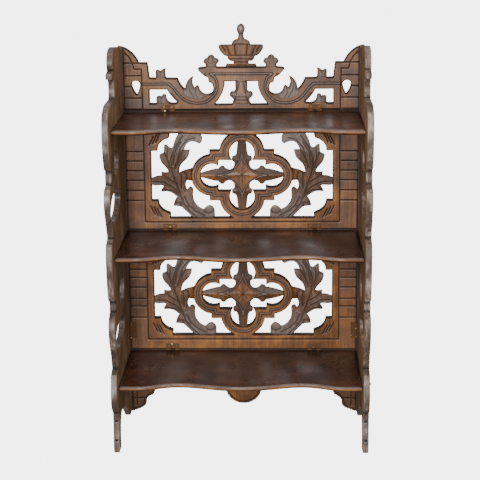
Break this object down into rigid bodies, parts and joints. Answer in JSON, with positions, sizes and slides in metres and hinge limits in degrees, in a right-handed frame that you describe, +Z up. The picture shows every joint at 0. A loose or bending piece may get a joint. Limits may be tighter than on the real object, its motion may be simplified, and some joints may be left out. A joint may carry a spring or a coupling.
{
  "type": "folding carved shelf unit",
  "caption": "Standing carved wooden shelf unit: fretted back board with urn crest, pierced lobed sides and serpentine shelves that fold up on brass butt hinges.",
  "frame": {"origin": "on the floor under the middle of the unit, at the centre of its bounding box", "axes": "+X to the viewer's right, -Y towards the viewer in front of the shelves, +Z up"},
  "size_m": [0.465, 0.2534, 0.7375],
  "materials": {
    "walnut": "aged dark walnut with a worn satin polish",
    "shelf_walnut": "dark reddish walnut with a glossy mottled polish",
    "brass": "dulled old brass",
    "steel": "darkened iron screws"
  },
  "bodies": {
    "carcass": {"back_board": "walnut", "shelf_bottom_hinge_left_board_leaf": "brass", "shelf_bottom_hinge_left_pin": "brass", "shelf_bottom_hinge_right_board_leaf": "brass", "shelf_bottom_hinge_right_pin": "brass", "shelf_hinge_board_screws": "steel", "shelf_middle_hinge_left_board_leaf": "brass", "shelf_middle_hinge_left_pin": "brass", "shelf_middle_hinge_right_board_leaf": "brass", "shelf_middle_hinge_right_pin": "brass", "shelf_pegs_left": "walnut", "shelf_pegs_right": "walnut", "shelf_top_hinge_left_board_leaf": "brass", "shelf_top_hinge_left_pin": "brass", "shelf_top_hinge_right_board_leaf": "brass", "shelf_top_hinge_right_pin": "brass", "side_hinge_board_screws": "steel", "side_left": "walnut", "side_left_hinge_lower_board_leaf": "brass", "side_left_hinge_lower_pin": "brass", "side_left_hinge_lower_side_leaf": "brass", "side_left_hinge_upper_board_leaf": "brass", "side_left_hinge_upper_pin": "brass", "side_left_hinge_upper_side_leaf": "brass", "side_left_screws": "steel", "side_right": "walnut", "side_right_hinge_lower_board_leaf": "brass", "side_right_hinge_lower_pin": "brass", "side_right_hinge_lower_side_leaf": "brass", "side_right_hinge_upper_board_leaf": "brass", "side_right_hinge_upper_pin": "brass", "side_right_hinge_upper_side_leaf": "brass", "side_right_screws": "steel", "urn_dowel": "walnut", "urn_finial": "walnut"},
    "shelf_bottom_board": {"shelf_bottom": "shelf_walnut", "shelf_bottom_hinge_left_shelf_leaf": "brass", "shelf_bottom_hinge_right_shelf_leaf": "brass", "shelf_bottom_screws": "steel"},
    "shelf_middle_board": {"shelf_middle": "shelf_walnut", "shelf_middle_hinge_left_shelf_leaf": "brass", "shelf_middle_hinge_right_shelf_leaf": "brass", "shelf_middle_screws": "steel"},
    "shelf_top_board": {"shelf_top": "shelf_walnut", "shelf_top_hinge_left_shelf_leaf": "brass", "shelf_top_hinge_right_shelf_leaf": "brass", "shelf_top_screws": "steel"}
  },
  "joints": [
    {"name": "shelf_bottom_fold", "type": "hinge", "parent": "carcass", "child": "shelf_bottom_board", "pos_m": [0, 0.111, 0.1255], "axis": [-1, 0, 0], "range_deg": [0, 90]},
    {"name": "shelf_middle_fold", "type": "hinge", "parent": "carcass", "child": "shelf_middle_board", "pos_m": [0, 0.111, 0.3595], "axis": [-1, 0, 0], "range_deg": [0, 90]},
    {"name": "shelf_top_fold", "type": "hinge", "parent": "carcass", "child": "shelf_top_board", "pos_m": [0, 0.111, 0.5815], "axis": [-1, 0, 0], "range_deg": [0, 90]}
  ]
}
